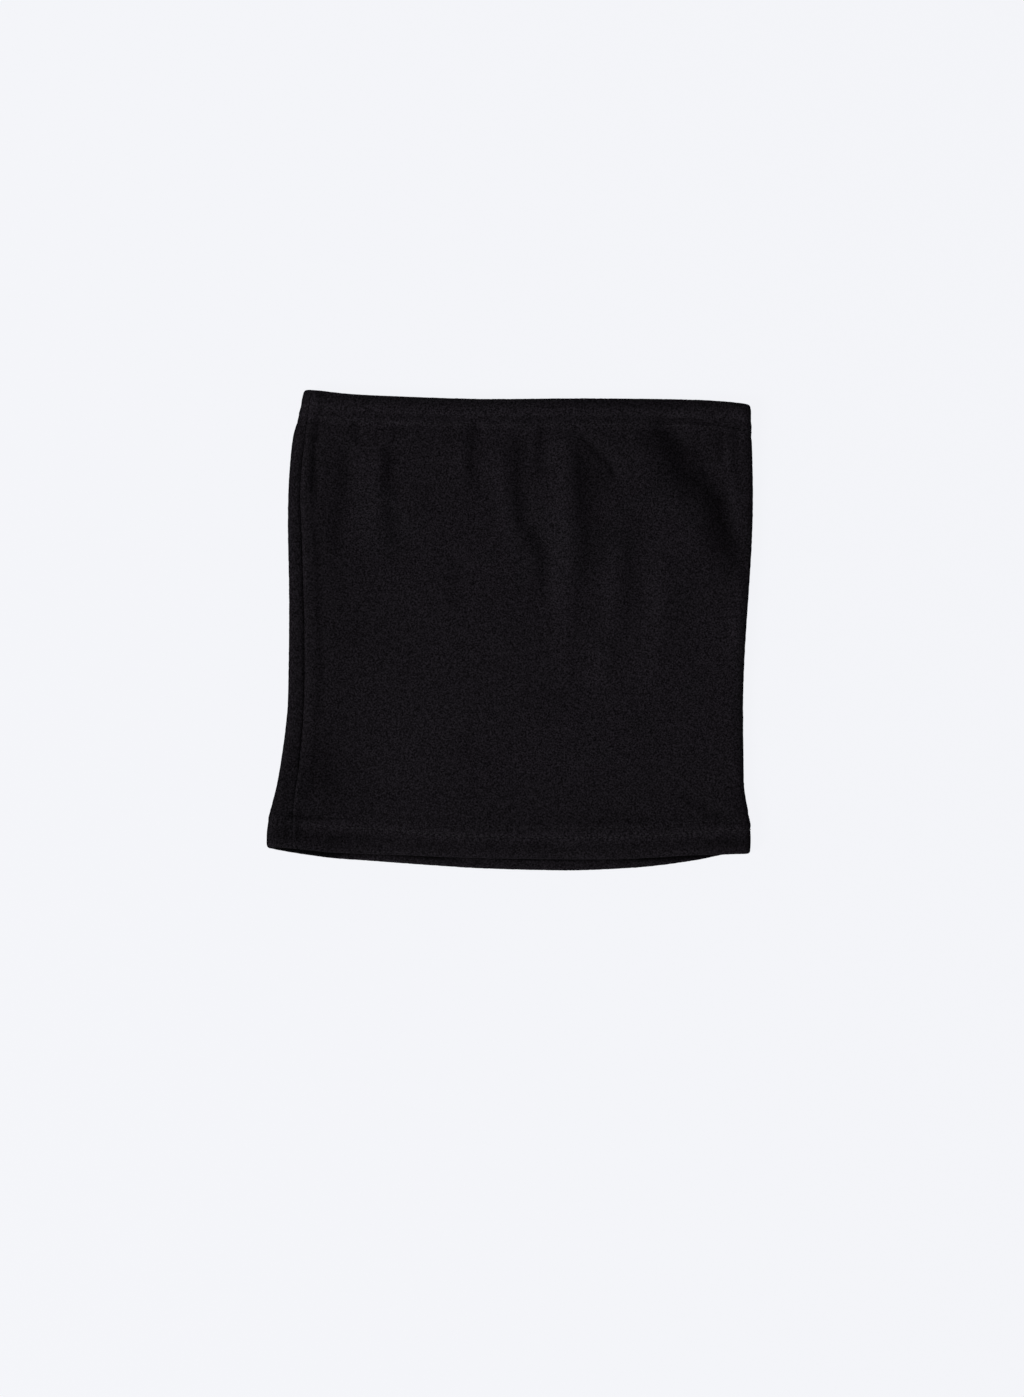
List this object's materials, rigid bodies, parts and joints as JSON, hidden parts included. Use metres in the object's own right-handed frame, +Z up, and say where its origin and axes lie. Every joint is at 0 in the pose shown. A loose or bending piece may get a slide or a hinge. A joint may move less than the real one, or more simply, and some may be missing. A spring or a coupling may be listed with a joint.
{
  "type": "neck gaiter",
  "caption": "Fleece neck gaiter, a hemmed tube of cloth laid flat, sewn from a front and a back panel, that folds over on itself at half its height.",
  "frame": {"origin": "middle of the underside of the gaiter as it lies flat, on the surface it lies on", "axes": "+Z up out of the front panel, +Y along the tube towards its narrower top mouth, +X across it towards the plain right-hand fold; the fold-over line is y = 0"},
  "size_m": [0.2715, 0.2682, 0.012],
  "materials": {
    "fleece": "black brushed micro-fleece, matt",
    "hem_thread": "black polyester sewing thread",
    "overlock_thread": "black textured overlock thread",
    "label_satin": "black satin tape, blank"
  },
  "bodies": {
    "lower": {"front_panel_lower": "fleece", "back_panel_lower": "fleece", "left_seam_thread_lower": "overlock_thread", "right_seam_thread_lower": "overlock_thread", "bottom_hem_needle_thread_1": "hem_thread", "bottom_hem_needle_thread_2": "hem_thread", "bottom_hem_looper_thread": "hem_thread", "care_label": "label_satin"},
    "upper": {"front_panel_upper": "fleece", "back_panel_upper": "fleece", "left_seam_thread_upper": "overlock_thread", "right_seam_thread_upper": "overlock_thread", "top_hem_needle_thread_1": "hem_thread", "top_hem_needle_thread_2": "hem_thread", "top_hem_looper_thread": "hem_thread"}
  },
  "joints": [
    {"name": "fold_over", "type": "hinge", "parent": "lower", "child": "upper", "pos_m": [0, 0, 0.0125], "axis": [1, 0, 0], "range_deg": [0, 180]}
  ]
}
